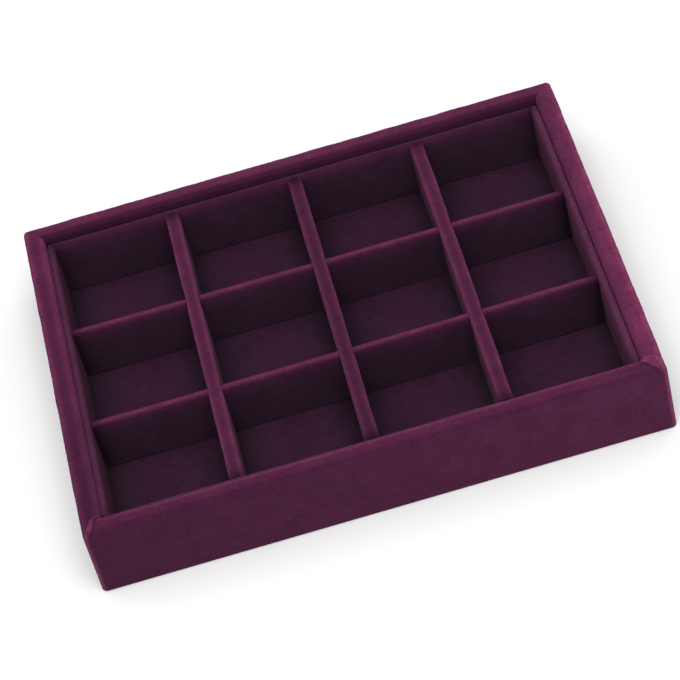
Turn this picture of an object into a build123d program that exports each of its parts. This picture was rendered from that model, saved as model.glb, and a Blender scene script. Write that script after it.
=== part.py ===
from build123d import *
import os

# A velvet jewelry tray: a wrapped box frame on a base board, and a lift-out grid that makes
# twelve compartments in it. Millimetres. The origin is the centre of the underside, +X runs
# along the long side, the front is -Y and +Z is up.

# Outside of the tray
tray_length = 230.0
tray_depth = 180.0
tray_height = 33.0

# Thickness of the materials
velvet_thickness = 0.7
wall_board_thickness = 6.8
base_board_thickness = 1.5
liner_board_thickness = 1.5
long_board_thickness = 4.3
cross_board_thickness = 1.5

# Rounding of the wrapped walls
wall_corner_radius = 3.0
wall_outer_edge_radius = 2.2
wall_inner_edge_radius = 2.2
wall_bottom_edge_radius = 1.0
board_edge_radius = 0.2

# The grid in the tray
grid_clearance = 0.3
liner_drop = 3.3
liner_turnover_depth = 10.0
liner_corner_radius = 1.5
liner_edge_radius = 1.4

# The dividers of the grid: how far their tops lie below the liner's, and their rounding
long_divider_step = 0.3
cross_divider_step = 1.9
divider_edge_radius = 1.4
lap_clearance = 0.1
lap_height_share = 0.5

# The tabs that hold the dividers' boards in slots of the liner's boards
tab_height = 9.0
tab_rise = 6.0
tab_clearance = 0.1

# The underside
underside_gap = 0.5

# How far a cutter runs past what it cuts
overrun = 1.0

# Worked out from the sizes above
wall_thickness = wall_board_thickness + 2 * velvet_thickness
liner_thickness = liner_board_thickness + 2 * velvet_thickness
long_thickness = long_board_thickness + 2 * velvet_thickness
cross_thickness = cross_board_thickness + 2 * velvet_thickness

base_top = velvet_thickness + base_board_thickness
floor_top = base_top + velvet_thickness
liner_top = tray_height - liner_drop
long_divider_top = liner_top - long_divider_step
cross_divider_top = liner_top - cross_divider_step
lap_level = floor_top + lap_height_share * (cross_divider_top - floor_top)

well_length = tray_length - 2 * wall_thickness
well_depth = tray_depth - 2 * wall_thickness
grid_length = well_length - 2 * grid_clearance
grid_depth = well_depth - 2 * grid_clearance
inner_length = grid_length - 2 * liner_thickness
inner_depth = grid_depth - 2 * liner_thickness

# The places of the dividers: three long ones make four columns, two cross ones make three rows
long_places = {"left": -1, "centre": 0, "right": 1}
cross_places = {"front": -0.5, "rear": 0.5}
column_width = (inner_length - len(long_places) * long_thickness) / (len(long_places) + 1)
row_depth = (inner_depth - len(cross_places) * cross_thickness) / (len(cross_places) + 1)
column_pitch = column_width + long_thickness
row_pitch = row_depth + cross_thickness
long_xs = {name: place * column_pitch for name, place in long_places.items()}
cross_ys = {name: place * row_pitch for name, place in cross_places.items()}

SIDES = ("front", "back", "left", "right")


def block(length, depth, bottom, top, x=0, y=0):
    """A plain block centred at (x, y), from one height to another."""
    return Pos(x, y, (bottom + top) / 2) * Box(length, depth, top - bottom)


def plate(length, depth, bottom, top, corner_radius):
    """A flat sheet with rounded upright corners."""
    outline = RectangleRounded(length, depth, corner_radius)
    return Pos(0, 0, bottom) * extrude(outline, amount=top - bottom)


def frame(length, depth, thickness, bottom, top, corner_radius, outer_radius, inner_radius):
    """A rectangular frame with rounded upright corners and rounded top edges."""
    ring = plate(length, depth, bottom, top, corner_radius)
    ring = ring - block(length - 2 * thickness, depth - 2 * thickness, bottom, top)
    rim = ring.faces().sort_by(Axis.Z)[-1]
    ring = fillet(rim.outer_wire().edges(), outer_radius)
    rim = ring.faces().sort_by(Axis.Z)[-1]
    return fillet(rim.inner_wires()[0].edges(), inner_radius)


def inset_radius(radius):
    """The rounding left one velvet thickness inside a rounded wrap."""
    return max(radius - velvet_thickness, board_edge_radius)


def mitre_wedge(side, length, depth, thickness, bottom, top):
    """The share of a frame that belongs to one side, between planes at 45 degrees to it."""
    reach = thickness + overrun
    half_length = length / 2
    half_depth = depth / 2
    outer_x = half_length + overrun
    outer_y = half_depth + overrun
    inner_x = half_length - reach
    inner_y = half_depth - reach
    if side in ("front", "back"):
        corners = [(-outer_x, -outer_y), (outer_x, -outer_y), (inner_x, -inner_y), (-inner_x, -inner_y)]
        turn = 0 if side == "front" else 180
    else:
        corners = [(-outer_x, -outer_y), (-inner_x, -inner_y), (-inner_x, inner_y), (-outer_x, outer_y)]
        turn = 0 if side == "left" else 180
    outline = make_face(Polyline(*corners, close=True))
    wedge = extrude(outline, amount=top - bottom + 2 * overrun, dir=(0, 0, 1))
    return Rot(0, 0, turn) * Pos(0, 0, bottom - overrun) * wedge


def butt_block(side, length, depth, thickness, bottom, top):
    """The share of a frame's board that belongs to one side: the side boards stand between the others."""
    if side in ("front", "back"):
        sign = -1 if side == "front" else 1
        return block(length, thickness, bottom, top, y=sign * (depth - thickness) / 2)
    sign = -1 if side == "left" else 1
    return block(thickness, depth - 2 * thickness, bottom, top, x=sign * (length - thickness) / 2)


def wall_core():
    """The four wall boards as one frame, one velvet thickness inside the wraps."""
    return frame(
        tray_length - 2 * velvet_thickness,
        tray_depth - 2 * velvet_thickness,
        wall_board_thickness,
        base_top,
        tray_height - velvet_thickness,
        inset_radius(wall_corner_radius),
        inset_radius(wall_outer_edge_radius),
        inset_radius(wall_inner_edge_radius),
    )


def base_board():
    """The sheet that the walls stand on, wrapped at its edge by their velvet."""
    length = tray_length - 2 * velvet_thickness
    depth = tray_depth - 2 * velvet_thickness
    return plate(length, depth, velvet_thickness, base_top, inset_radius(wall_corner_radius))


def wall_wrap():
    """The walls' velvet as one frame: up the outside, over the rim, down the inside, and under the base."""
    wrap = frame(
        tray_length,
        tray_depth,
        wall_thickness,
        0,
        tray_height,
        wall_corner_radius,
        wall_outer_edge_radius,
        wall_inner_edge_radius,
    )
    sole = wrap.faces().sort_by(Axis.Z)[0]
    wrap = fillet(sole.outer_wire().edges(), wall_bottom_edge_radius)
    return wrap - wall_core() - base_board()


def wall_parts():
    """The wall boards, butted at the corners, and their wraps, mitred at the corners."""
    core = wall_core()
    wrap = wall_wrap()
    core_length = tray_length - 2 * velvet_thickness
    core_depth = tray_depth - 2 * velvet_thickness
    parts = {}
    for side in SIDES:
        share = butt_block(side, core_length, core_depth, wall_board_thickness, base_top, tray_height)
        parts[f"{side}_wall_board"] = core & share
        wedge = mitre_wedge(side, tray_length, tray_depth, wall_thickness, 0, tray_height)
        parts[f"{side}_wall_velvet"] = wrap & wedge
    return parts


def floor_velvet():
    """The floor of the compartments, from wall to wall on the base board."""
    return block(well_length, well_depth, base_top, floor_top)


def underside_cloth():
    """The sheet under the base board, inside the turned-in wraps and flush with them."""
    length = well_length - 2 * underside_gap
    depth = well_depth - 2 * underside_gap
    return block(length, depth, 0, velvet_thickness)


def tab_box(length, depth, x, y, clearance):
    """A divider's tab, or its slot when a clearance is given."""
    bottom = floor_top + tab_rise - clearance
    top = floor_top + tab_rise + tab_height + clearance
    return block(length, depth, bottom, top, x, y)


def tab_slots():
    """The slots through the liner, at both ends of every divider."""
    reach = liner_thickness + overrun
    slot_x = inner_length / 2 + reach / 2
    slot_y = inner_depth / 2 + reach / 2
    slots = []
    for end in (-1, 1):
        for x in long_xs.values():
            width = long_board_thickness + 2 * tab_clearance
            slots.append(tab_box(width, reach, x, end * slot_y, tab_clearance))
        for y in cross_ys.values():
            width = cross_board_thickness + 2 * tab_clearance
            slots.append(tab_box(reach, width, end * slot_x, y, tab_clearance))
    return slots


def liner_core():
    """The four liner boards as one frame, one velvet thickness inside the wraps."""
    return frame(
        grid_length - 2 * velvet_thickness,
        grid_depth - 2 * velvet_thickness,
        liner_board_thickness,
        floor_top,
        liner_top - velvet_thickness,
        inset_radius(liner_corner_radius),
        inset_radius(liner_edge_radius),
        inset_radius(liner_edge_radius),
    )


def liner_wrap():
    """The liner's velvet as one frame: up the inside, over the top and a short way down the back."""
    wrap = frame(
        grid_length,
        grid_depth,
        liner_thickness,
        floor_top,
        liner_top,
        liner_corner_radius,
        liner_edge_radius,
        liner_edge_radius,
    )
    turnover_end = liner_top - liner_turnover_depth
    bare = block(grid_length + 2 * overrun, grid_depth + 2 * overrun, floor_top - overrun, turnover_end)
    kept_length = grid_length - 2 * velvet_thickness
    kept_depth = grid_depth - 2 * velvet_thickness
    kept = block(kept_length, kept_depth, floor_top - overrun, turnover_end)
    return wrap - liner_core() - (bare - kept)


def liner_parts():
    """The liner boards, butted at the corners, and their wraps, mitred at the corners."""
    slots = tab_slots()
    core = liner_core() - slots
    wrap = liner_wrap() - slots
    core_length = grid_length - 2 * velvet_thickness
    core_depth = grid_depth - 2 * velvet_thickness
    parts = {}
    for side in SIDES:
        share = butt_block(side, core_length, core_depth, liner_board_thickness, floor_top, liner_top)
        parts[f"{side}_liner_board"] = core & share
        wedge = mitre_wedge(side, grid_length, grid_depth, liner_thickness, floor_top, liner_top)
        parts[f"{side}_liner_velvet"] = wrap & wedge
    return parts


def upright(length, thickness, top, edge_radius):
    """An upright strip along X on the floor of the tray, with its two long top edges rounded."""
    strip = block(length, thickness, floor_top, top)
    rim = strip.faces().sort_by(Axis.Z)[-1]
    return fillet(rim.edges().filter_by(Axis.X), edge_radius)


def divider_core(length, board_thickness, top):
    """A divider's board along X, with a tab at each end that goes through the liner."""
    core = upright(length, board_thickness, top - velvet_thickness, inset_radius(divider_edge_radius))
    tab_length = velvet_thickness + liner_board_thickness
    for end in (-1, 1):
        core = core + tab_box(tab_length, board_thickness, end * (length + tab_length) / 2, 0, 0)
    return core


def divider_wrap(length, board_thickness, top):
    """A divider's velvet along X: up one face, over the top and down the other, open at the ends."""
    wrap = upright(length, board_thickness + 2 * velvet_thickness, top, divider_edge_radius)
    board_top = top - velvet_thickness
    board = upright(length + 2 * overrun, board_thickness, board_top, inset_radius(divider_edge_radius))
    return wrap - board


def long_divider_parts():
    """The dividers that run front to back, slotted from below where the cross ones pass."""
    width = cross_thickness + 2 * lap_clearance
    depth = long_thickness + 2 * overrun
    slots = []
    for y in cross_ys.values():
        slots.append(block(depth, width, floor_top - overrun, lap_level, y=y))
    parts = {}
    for name, x in long_xs.items():
        core = Rot(0, 0, 90) * divider_core(inner_depth, long_board_thickness, long_divider_top)
        wrap = Rot(0, 0, 90) * divider_wrap(inner_depth, long_board_thickness, long_divider_top)
        parts[f"{name}_long_divider_board"] = Pos(x, 0, 0) * (core - slots)
        parts[f"{name}_long_divider_velvet"] = Pos(x, 0, 0) * (wrap - slots)
    return parts


def cross_divider_parts():
    """The dividers that run left to right, slotted from above where the long ones pass."""
    width = long_thickness + 2 * lap_clearance
    depth = cross_thickness + 2 * overrun
    slots = []
    for x in long_xs.values():
        slots.append(block(width, depth, lap_level, cross_divider_top + overrun, x=x))
    parts = {}
    for name, y in cross_ys.items():
        core = divider_core(inner_length, cross_board_thickness, cross_divider_top)
        wrap = divider_wrap(inner_length, cross_board_thickness, cross_divider_top)
        parts[f"{name}_cross_divider_board"] = Pos(0, y, 0) * (core - slots)
        parts[f"{name}_cross_divider_velvet"] = Pos(0, y, 0) * (wrap - slots)
    return parts


def tray_parts():
    """Every piece of the tray by its name."""
    parts = {
        "base_board": base_board(),
        "floor_velvet": floor_velvet(),
        "underside_cloth": underside_cloth(),
    }
    parts.update(wall_parts())
    parts.update(liner_parts())
    parts.update(long_divider_parts())
    parts.update(cross_divider_parts())
    return parts


os.makedirs("parts", exist_ok=True)
for part_name, shape in tray_parts().items():
    export_step(shape, f"parts/{part_name}.step")
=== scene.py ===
import math

import bpy
import numpy as np
from bpy.props import FloatProperty, FloatVectorProperty, IntProperty, PointerProperty, StringProperty
from mathutils import Matrix, Vector


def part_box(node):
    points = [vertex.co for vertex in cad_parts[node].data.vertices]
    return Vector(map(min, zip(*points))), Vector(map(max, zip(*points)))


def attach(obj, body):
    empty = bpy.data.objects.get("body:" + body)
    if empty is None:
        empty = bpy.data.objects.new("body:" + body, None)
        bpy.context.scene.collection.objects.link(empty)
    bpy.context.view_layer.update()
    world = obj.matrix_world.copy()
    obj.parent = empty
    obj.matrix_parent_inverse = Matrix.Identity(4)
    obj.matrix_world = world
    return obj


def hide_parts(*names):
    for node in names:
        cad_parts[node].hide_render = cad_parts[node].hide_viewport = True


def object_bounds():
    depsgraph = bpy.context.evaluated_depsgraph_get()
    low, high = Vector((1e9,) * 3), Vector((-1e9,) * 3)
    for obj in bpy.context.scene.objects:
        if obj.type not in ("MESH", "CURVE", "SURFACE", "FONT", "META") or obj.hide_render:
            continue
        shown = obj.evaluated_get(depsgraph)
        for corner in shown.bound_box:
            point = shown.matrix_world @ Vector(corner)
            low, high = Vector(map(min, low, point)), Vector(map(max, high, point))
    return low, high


bl_info = {
    "name": "Velvet jewelry tray",
    "version": (1, 0, 0),
    "blender": (4, 5, 0),
    "location": "3D View > Sidebar > Velvet tray",
    "description": "Wraps the boards of a jewelry tray and of its lift-out grid in velvet, and lights it",
    "category": "Object",
}

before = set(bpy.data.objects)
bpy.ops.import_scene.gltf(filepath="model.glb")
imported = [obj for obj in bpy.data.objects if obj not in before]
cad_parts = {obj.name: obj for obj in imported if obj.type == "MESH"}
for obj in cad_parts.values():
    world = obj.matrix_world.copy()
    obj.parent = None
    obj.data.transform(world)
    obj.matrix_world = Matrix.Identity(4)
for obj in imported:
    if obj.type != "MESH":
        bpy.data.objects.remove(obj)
CAD_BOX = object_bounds()

MM = 0.001
SIDES = ("front", "back", "left", "right")
QUARTER_TURNS = {"front": 0, "right": 1, "back": 2, "left": 3}
PHOTO_PIXELS = 680
SENSOR_WIDTH_MM = 36.0

# How far each piece strays from its even place, at its start, middle and end, as shares of the stray.
LONG_STRAY_SHARES = {"left": (0.0, 0.3, 1.0), "centre": (1.0, 1.0, 1.0), "right": (1.0, 1.0, 0.5)}
CROSS_STRAY_SHARES = {"front": (-0.6, -1.0, 1.0), "rear": (0.6, -1.0, 0.0)}
# The same for the walls' inner edges and for the liner, where more is further from the tray's middle.
WALL_STRAY_SHARES = {"front": (0.9, 0.55, -1.0), "right": (0.7, 0.7, 0.7)}
LINER_STRAY_SHARES = {"left": (0.1, 0.1, 0.1), "right": (0.4, 0.4, 0.4), "back": (-0.7, -0.7, -0.7)}
STRAIGHT = (0.0, 0.0, 0.0)

# Heights of a unit normal between which a face passes from a side into a top, on a rim and on a crown, and
# so into the top's painted light.
RIM_LEVEL = (0.2, 0.9)
CROWN_LEVEL = (0.0, 0.7)
# Seeds of the unevenness, one for each kind of piece.
WALL_SEED = 3
LINER_SEED = 5
DIVIDER_SEED = 7
FLOOR_SEED = 11
# The cosines in a field of slow waves: their number, and their lengths as shares of the wave length.
WAVE_COUNT = 24
WAVE_SHARES = (0.6, 1.8)
# How many times closer the points stand near a wrap's mitres, and how many times wider apart on the floor.
WALL_END_FINENESS = 3
LINER_END_FINENESS = 2
FLOOR_COARSENESS = 1.5
UNDERSIDE_ROWS = 30
UNDERSIDE_COLUMNS = 40
# How many of its roundings the painted shade of the crease beside a fold lies further in than the fold's
# width.
CREASE_ROUNDINGS = 1.5
# Keeps a division off nothing.
NEARLY_ZERO = 1e-12

VELVET_NAME = "Polyester velvet"
# A raw board's clouds are that many fibres wide, its fibres are drawn out to about three times their
# width along X, and that share of its speckle comes from them. The rest comes from the clouds.
CLOUD_FIBRES = 12
FIBRE_STRETCH = (0.3, 1.0, 1.0)
FIBRE_SHARE = 0.7
# Values of the speckle at which a board has its dark and its pale colour.
SPECKLE_DARK = 0.34
SPECKLE_PALE = 0.56
# Blender's wave texture turns its phase by that much in a unit of length at a scale of 1.
WAVE_TEXTURE_RATE = 20
# How far the camera sees, in lengths of the tray.
CLIP_LENGTHS = 100


def node_size(node, axis):
    """A solid's extent along one axis, in metres."""
    low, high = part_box(node)
    return high[axis] - low[axis]


def node_middle(node, axis):
    """The middle of a solid along one axis, in metres."""
    low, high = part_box(node)
    return (low[axis] + high[axis]) / 2


def node_top(node):
    """The height of a solid's top, in metres."""
    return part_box(node)[1][2]


TRAY_LENGTH, TRAY_DEPTH, TRAY_HEIGHT = (high - low for low, high in zip(*CAD_BOX))
VELVET = node_size("floor_velvet", 2)
WALL = node_size("front_wall_velvet", 1)
LINER = node_size("front_liner_velvet", 1)
GRID_LENGTH = -2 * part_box("left_liner_velvet")[0][0]
GRID_DEPTH = -2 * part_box("front_liner_velvet")[0][1]
FLOOR_TOP = node_top("floor_velvet")
BASE_TOP = node_top("base_board")
LINER_TOP = node_top("front_liner_velvet")
LONG_TOP = node_top("centre_long_divider_velvet")
CROSS_TOP = node_top("front_cross_divider_velvet")
LONG_THICKNESS = node_size("centre_long_divider_velvet", 0)
CROSS_THICKNESS = node_size("front_cross_divider_velvet", 1)
INNER_LENGTH = node_size("front_cross_divider_velvet", 0)
INNER_DEPTH = node_size("centre_long_divider_velvet", 1)
LONG_XS = {name: node_middle(f"{name}_long_divider_velvet", 0) for name in LONG_STRAY_SHARES}
CROSS_YS = {name: node_middle(f"{name}_cross_divider_velvet", 1) for name in CROSS_STRAY_SHARES}
# Heights between which the pile passes from lying flat at its foot to its full unevenness or swell.
WALL_FOOT = (2 * VELVET, 8 * VELVET)
GRID_FOOT = (FLOOR_TOP, 3 * FLOOR_TOP)
SWELL_FOOT = (BASE_TOP, 2 * BASE_TOP)


def millimetres(name, description, default):
    """A length that a user may change, shown in the scene's units."""
    return FloatProperty(
        name=name, description=description, default=default * MM, min=0, unit="LENGTH", precision=4
    )


def millimetre_pair(name, description, default):
    """Two lengths, in the order that the description gives."""
    return FloatVectorProperty(
        name=name, description=description, size=2, default=[value * MM for value in default], min=0,
        unit="LENGTH", precision=4,
    )


def share(name, description, default):
    """A plain share between nothing and all."""
    return FloatProperty(
        name=name, description=description, default=default, min=0, max=1, subtype="FACTOR"
    )


def factor(name, description, default):
    """A plain number."""
    return FloatProperty(name=name, description=description, default=default)


def factors(name, description, *defaults):
    """A few plain numbers, in the order that the description gives."""
    return FloatVectorProperty(name=name, description=description, size=len(defaults), default=defaults)


def hex_colour(name, description, default):
    """A colour written as six sRGB hex digits."""
    return StringProperty(name=name, description=description, default=default)


class WrapSettings(bpy.types.PropertyGroup):
    """Shape of the velvet wraps."""

    corner_radius: millimetres("Corner radius", "Rounding of the tray's upright corners", 2.0)
    outer_radius: millimetres("Outer edge", "Rounding of the walls' outer top edge", 2.2)
    inner_radius: millimetres("Inner edge", "Rounding of the walls' inner top edge", 2.2)
    sole_radius: millimetres("Bottom edge", "Rounding of the walls' outer bottom edge", 1.0)
    liner_corner: millimetres("Liner corner", "Rounding of the liner's upright corners", 1.5)
    liner_radius: millimetres("Liner edge", "Rounding of the liner's top edges", 1.4)
    turnover: millimetres("Turnover", "How far the liner's velvet comes down its hidden face", 10.0)
    divider_radius: millimetres("Divider edge", "Rounding of the dividers' top edges", 1.1)
    lap_share: share("Lap height", "Height of the half-lap joints as a share of the cross dividers", 0.5)
    lap_bite: millimetres("Lap bite", "How far each side of a slot presses into the divider in it", 0.8)
    end_bite: millimetres("End bite", "How far a divider's ends press into the liner's pile", 0.6)
    stray: millimetres("Stray", "How far at most a wrap strays from its even place", 0.55)
    give: millimetres("Give", "How far at most a divider's velvet is pressed in towards its board", 0.5)
    swell: millimetres("Swell", "How far the piles of a wall and the liner swell into their groove", 0.1)
    pinch: millimetres("Pinch", "How far the lap joints squeeze the long dividers on each side", 0.3)
    pinch_reach: millimetres("Pinch reach", "How far along a divider the squeeze is felt", 3.5)
    wave: millimetres("Unevenness", "Height of the slow waves in glued velvet", 0.1)
    wave_length: millimetres("Wave length", "Length of the slow waves in glued velvet", 16.0)
    tuft: millimetres("Tufts", "Height of the small tufts in the pile", 0.05)
    tuft_length: millimetres("Tuft length", "Spacing of the small tufts in the pile", 2.2)
    mitre_reach: millimetres("Mitre reach", "How far from a mitre the velvet is held flat", 6.0)
    mitre_dip: millimetres("Mitre dip", "How far a wrap sinks beneath the one that is folded over it", 0.15)
    fold_start: millimetres("Fold start", "Where on the rim the front wrap starts to pass the mitre", 1.6)
    fold_reach: millimetre_pair(
        "Fold reach", "How far the front wrap runs past its mitres: left, right", (4.2, 6.0)
    )
    fold_rise: millimetre_pair(
        "Fold rise", "How high the front wrap's folded ends stand: left, right", (0.5, 0.7)
    )
    fold_width: millimetre_pair(
        "Fold width", "Width of a folded end's ridge, apart from its full part: left, right", (1.3, 1.2)
    )
    fold_full_share: factors(
        "Fold fullness", "Share of what lies past the mitre that is raised: left, right", 0.0, 1.0
    )
    fold_round: millimetres("Fold rounding", "Rounding of a folded end's free edge", 0.6)
    fold_flat: millimetres("Fold flattening", "How far past the mitre the inner bend has run out", 2.0)
    bulge: millimetres("Floor bulge", "How far the floor's velvet rises in a compartment", 0.25)
    mesh_step: millimetres("Mesh step", "Largest spacing of the points in a wrap", 0.8)
    arc_steps: IntProperty(name="Arc steps", description="Points in a quarter round", default=8, min=2)


class PileSettings(bpy.types.PropertyGroup):
    """Colours of the velvet, the lie of its pile, and the light and shade painted into it."""

    open_colour: hex_colour("Open", "Velvet in the open, brushed flat", "#481d38")
    # Painted shade colour: a greyer colour that the velvet takes, by its share, deep in compartments and on
    # the floor.
    shade_colour: hex_colour("Shut in", "Velvet deep in a compartment, where its pile stands", "#483145")
    # Colour of the painted highlights, which the velvet reaches at this painted brightness.
    highlight_colour: hex_colour("Tips", "Velvet whose pile lies open, before it is brightened", "#481b30")
    highlight_from: factor("Tips from", "Brightness of the pile at which its colour is that of the tips", 3.4)
    # Brightness of the four rims and the outer faces from end to end: the lie of each strip's pile, with
    # painted light and sheen.
    front: factors("Front rim", "Brightness of the front rim's pile at its two ends", 1.2, 1.35)
    back: factors("Back rim", "Brightness of the back rim's pile at its two ends", 1.7, 1.68)
    left: factors("Left rim", "Brightness of the left rim's pile at its two ends", 0.78, 1.36)
    right: factors("Right rim", "Brightness of the right rim's pile at its two ends", 2.2, 1.8)
    face: factors("Outside", "Brightness of the outer faces at their two ends", 0.9, 1.17)
    # Share of painted shade colour on the outer faces.
    face_shade_tint_share: share("Outside, shut in", "How far the pile of the outer faces stands", 0.12)
    # Painted light on each liner's crown with a painted highlight along its middle, a share of painted
    # shade colour on the crowns, and painted light and shade on the side liners' inner faces.
    liner_front: factors("Front liner", "Brightness of the crown and glow along its middle", 1.0, 0.3)
    liner_back: factors("Back liner", "Brightness of the crown and glow along its middle", 0.65, 0.4)
    liner_left: factors("Left liner", "Brightness of the crown and glow along its middle", 0.75, 0.75)
    liner_right: factors("Right liner", "Brightness of the crown and glow along its middle", 1.1, 0.5)
    liner_shade_tint_share: share("Liner, shut in", "How far the pile of the liner's crown stands", 0.25)
    liner_inner: factors("Liner's sides", "Brightness of the left and right liner's inner faces", 0.4, 1.2)
    liner_reach: millimetres("Liner reach", "How far the glow along the liner's crown is felt", 1.4)
    # Painted highlights along the dividers' crowns, and painted light on the long ones' crowns.
    cross_highlight: factor("Cross divider glow", "Brightening along the middle of the crowns", 0.98)
    cross_reach: millimetres("Cross divider reach", "How far the glow along such a crown is felt", 0.8)
    long_level: factors("Long dividers", "Brightness of the crowns: left, centre, right", 1.13, 0.92, 1.1)
    long_highlight: factor("Long divider glow", "Brightening of the long dividers' edges", 0.9)
    highlight_across: millimetres("Glow across", "How far an edge's glow is felt on a crown", 0.7)
    highlight_down: millimetres("Glow down", "How far an edge's glow is felt down a face", 2.2)
    # Painted shade towards the ends of the thin crowns.
    end_shade_share: share("End shade", "Darkening of the thin crowns at their ends", 0.6)
    end_reach: millimetres("End reach", "How far from a crown's end its darkening is felt", 4.5)
    liner_end_share: share("Liner's ends", "How much of that darkening the liner's crown has", 0.5)
    # Painted sheen and shade on the walls' bends and upright corners, blended between the rims at the back
    # corners.
    outer_bend_light: factors(
        "Outer bends", "Brightening of those that turn to the front, back, left and right",
        -0.3, 0.35, 1.2, 0.9,
    )
    inner_bend_light: factors(
        "Inner bends", "Brightening of those that turn to the front, back, left and right",
        -0.7, 1.1, -0.2, 0.8,
    )
    blend_reach: millimetres("Rim blend", "How far from a back corner its two rims blend", 4.0)
    corner_light: factor("Opened corner", "Brightening of the upright corners", 1.5)
    # Painted highlight on the front wrap's folded ends, painted shade in the crease beside each, and how
    # far a bend's painted light spreads.
    fold_highlight: factors("Fold glow", "Brightening of the front wrap's two folded ends", 0.7, 0.85)
    crease_shade_share: share("Fold crease", "Darkening of the crease beside a fold", 0.5)
    rim_reach: millimetres("Rim reach", "How far an opened bend is felt in the pile of a rim", 0.7)
    # Painted shade down the compartments' faces by depth, and the share of painted shade colour there.
    face_near: factors("Faces, near", "Brightness near the top: across the view, along it", 1.0, 0.78)
    face_deep: factors("Faces, deep", "Brightness deep down: across the view, along it", 0.5, 0.4)
    cross_deep_share: share("Cross dividers, deep", "Their brightness there, as a share of a face's", 0.95)
    back_wall_share: share("Back wall", "Brightness of the back wall's inner face", 0.7)
    deep_reach: millimetre_pair("Deep reach", "Depth over which a face darkens: across, along", (2.4, 6.0))
    shade_tint_near_share: factors("Shut in, near", "How far pile stands near the top: across, along", 0.05, 0.15)
    shade_tint_deep_share: factors("Shut in, deep", "How far pile stands deep down: across, along", 0.95, 0.62)
    shade_tint_reach: millimetres("Shut reach", "Depth over which the pile comes to stand", 5.0)
    # Painted light on the two piles in the groove.
    groove: factor("Groove", "Brightening of the two piles between a side wall and the liner", 1.2)
    groove_reach: millimetres("Groove reach", "How far down the groove's brightening is felt", 3.5)
    # Painted shade on the floor and, darker still, along the dividers' feet, with its share of painted
    # shade colour.
    floor: factor("Floor", "Brightness of the floor's pile", 0.74)
    floor_shade_tint_share: share("Floor, shut in", "How far the floor's pile stands", 0.4)
    foot_shade_share: factors("Foot shade", "Darkening of the floor at long and cross dividers", 0.5, 0.2)
    foot_shade_tint_share: share("Foot, shut in", "How much further it stands at the long dividers", 0.8)
    foot_reach: millimetres("Foot reach", "How far from a divider's foot its shade is felt", 6.0)
    sheen_tint: hex_colour("Sheen", "Colour of the light that the pile's tips catch", "#d884a8")
    sheen_share: share("Sheen amount", "How strongly the pile's tips catch the light", 0.08)
    cloud: millimetres("Clouds", "Size of the patches where the pile lies another way", 14.0)
    cloud_share: share("Clouds' contrast", "How far their brightness ranges", 0.55)
    worm: millimetres("Tracks", "Width of the short tracks where the pile parts", 2.0)
    worm_share: share("Tracks' contrast", "How far their brightness ranges", 0.7)
    grain: millimetres("Grain", "Spacing of the pile's tips, drawn coarse enough to show", 0.5)
    grain_share: share("Grain's contrast", "How far its brightness ranges", 0.35)
    # The mottling grows bolder where the painted light is brighter.
    bold: factor("Bolder tips", "How much more mottled the pile is where its tips show", 2.1)


class BoardSettings(bpy.types.PropertyGroup):
    """Colours and grain of the boards inside the wraps, and of the cloth under the base."""

    fibreboard_colour: hex_colour("Fibreboard", "Pale fibres of the walls' boards", "#b08c64")
    fibreboard_dark: hex_colour("Fibreboard, dark", "Dark fibres of the walls' boards", "#8a6a48")
    fibreboard_grain: millimetres("Fibreboard grain", "Width of those fibres", 0.35)
    greyboard_colour: hex_colour("Greyboard", "Pale fibres of the other boards", "#9a958b")
    greyboard_dark: hex_colour("Greyboard, dark", "Dark fibres of the other boards", "#716c63")
    greyboard_grain: millimetres("Greyboard grain", "Width of those fibres", 0.5)
    backing_colour: hex_colour("Backing", "Threads on top in the cloth's weave", "#2c1f29")
    backing_dark: hex_colour("Backing, dark", "Threads beneath in the cloth's weave", "#140d13")
    backing_thread: millimetres("Backing thread", "Spacing of the threads, drawn coarse to show", 0.5)


class StageSettings(bpy.types.PropertyGroup):
    """Camera, light and floor."""

    camera_place: FloatVectorProperty(
        name="Camera", description="Place of the camera", default=(-0.01294, -0.88098, 0.86347),
        subtype="TRANSLATION", unit="LENGTH", precision=5,
    )
    azimuth: FloatProperty(
        name="Azimuth", description="Turn of the view from +Y towards +X", default=math.radians(0.835),
        subtype="ANGLE",
    )
    elevation: FloatProperty(
        name="Elevation", description="How far the camera looks down", default=math.radians(44.164),
        subtype="ANGLE",
    )
    roll: FloatProperty(
        name="Roll", description="Turn of the camera about its own line of sight",
        default=math.radians(-15.533), subtype="ANGLE",
    )
    focal_pixels: FloatProperty(
        name="Focal length", description="Focal length in pixels of the photo", default=3039.3, min=1,
    )
    sky: FloatProperty(name="Sky", description="Strength of the even light", default=0.82, min=0)
    key: FloatProperty(name="Key", description="Power of the soft lamp", default=9.0, min=0, unit="POWER")
    key_place: FloatVectorProperty(
        name="Key place", description="Place of the soft lamp, in lengths of the tray", default=(0, -3, 5.5)
    )
    key_size: FloatProperty(
        name="Key size", description="Width of the soft lamp, in lengths of the tray", default=4, min=0
    )
    floor_reach: FloatProperty(
        name="Floor", description="Reach of the floor each way, in lengths of the tray", default=10, min=1
    )
    floor_colour: hex_colour("Paper", "Colour of the floor as the object sees it", "#e4e2df")
    floor_white: hex_colour("Paper, seen", "Colour of the floor as the camera sees it", "#ffffff")


def linear(colour):
    """An sRGB hex colour as linear red, green, blue and a full alpha."""
    values = np.array([int(colour[i:i + 2], 16) for i in (1, 3, 5)]) / 255
    curved = ((values + 0.055) / 1.055) ** 2.4
    return (*np.where(values <= 0.04045, values / 12.92, curved).tolist(), 1.0)


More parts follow.
